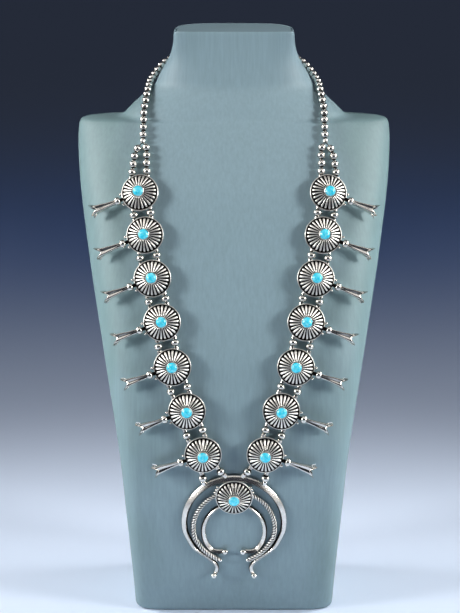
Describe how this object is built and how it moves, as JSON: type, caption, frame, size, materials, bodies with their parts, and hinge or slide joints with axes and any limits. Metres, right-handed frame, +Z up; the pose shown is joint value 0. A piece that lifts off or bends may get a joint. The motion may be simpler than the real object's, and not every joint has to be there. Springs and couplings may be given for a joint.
{
  "type": "squash blossom necklace on a neck bust",
  "caption": "Squash blossom necklace of silver and turquoise with fluted discs, flared blossoms and a crescent naja pendant, lying on a plain painted neck bust.",
  "frame": {"origin": "centre of the flat underside of the bust's foot, where it stands on a surface", "axes": "+Z up along the bust, -Y towards the front where the naja lies, +X to the right as seen from the front; the part is symmetric about the YZ plane"},
  "size_m": [0.1878, 0.1359, 0.346],
  "materials": {
    "paint": "carved wood under brushed pale sage and blue-green paint, matt",
    "silver": "polished silver with dark oxide left in the recesses",
    "turquoise": "polished cabochon, bright sky blue, faintly mottled",
    "thread": "dark grey twisted stringing cord"
  },
  "bodies": {
    "root": {"bust": "paint", "naja": "silver", "naja_turquoise": "turquoise", "clasp": "silver", "left_blossom_1": "silver", "left_blossom_2": "silver", "left_blossom_3": "silver", "left_blossom_4": "silver", "left_blossom_5": "silver", "left_blossom_6": "silver", "left_blossom_7": "silver", "right_blossom_1": "silver", "right_blossom_2": "silver", "right_blossom_3": "silver", "right_blossom_4": "silver", "right_blossom_5": "silver", "right_blossom_6": "silver", "right_blossom_7": "silver", "left_turquoise_1": "turquoise", "left_turquoise_2": "turquoise", "left_turquoise_3": "turquoise", "left_turquoise_4": "turquoise", "left_turquoise_5": "turquoise", "left_turquoise_6": "turquoise", "left_turquoise_7": "turquoise", "right_turquoise_1": "turquoise", "right_turquoise_2": "turquoise", "right_turquoise_3": "turquoise", "right_turquoise_4": "turquoise", "right_turquoise_5": "turquoise", "right_turquoise_6": "turquoise", "right_turquoise_7": "turquoise", "left_neck_beads": "silver", "right_neck_beads": "silver", "left_neck_thread": "thread", "right_neck_thread": "thread", "left_join_bead": "silver", "right_join_bead": "silver", "left_inner_beads": "silver", "left_outer_beads": "silver", "right_inner_beads": "silver", "right_outer_beads": "silver", "left_inner_thread": "thread", "left_outer_thread": "thread", "right_inner_thread": "thread", "right_outer_thread": "thread"}
  },
  "joints": []
}
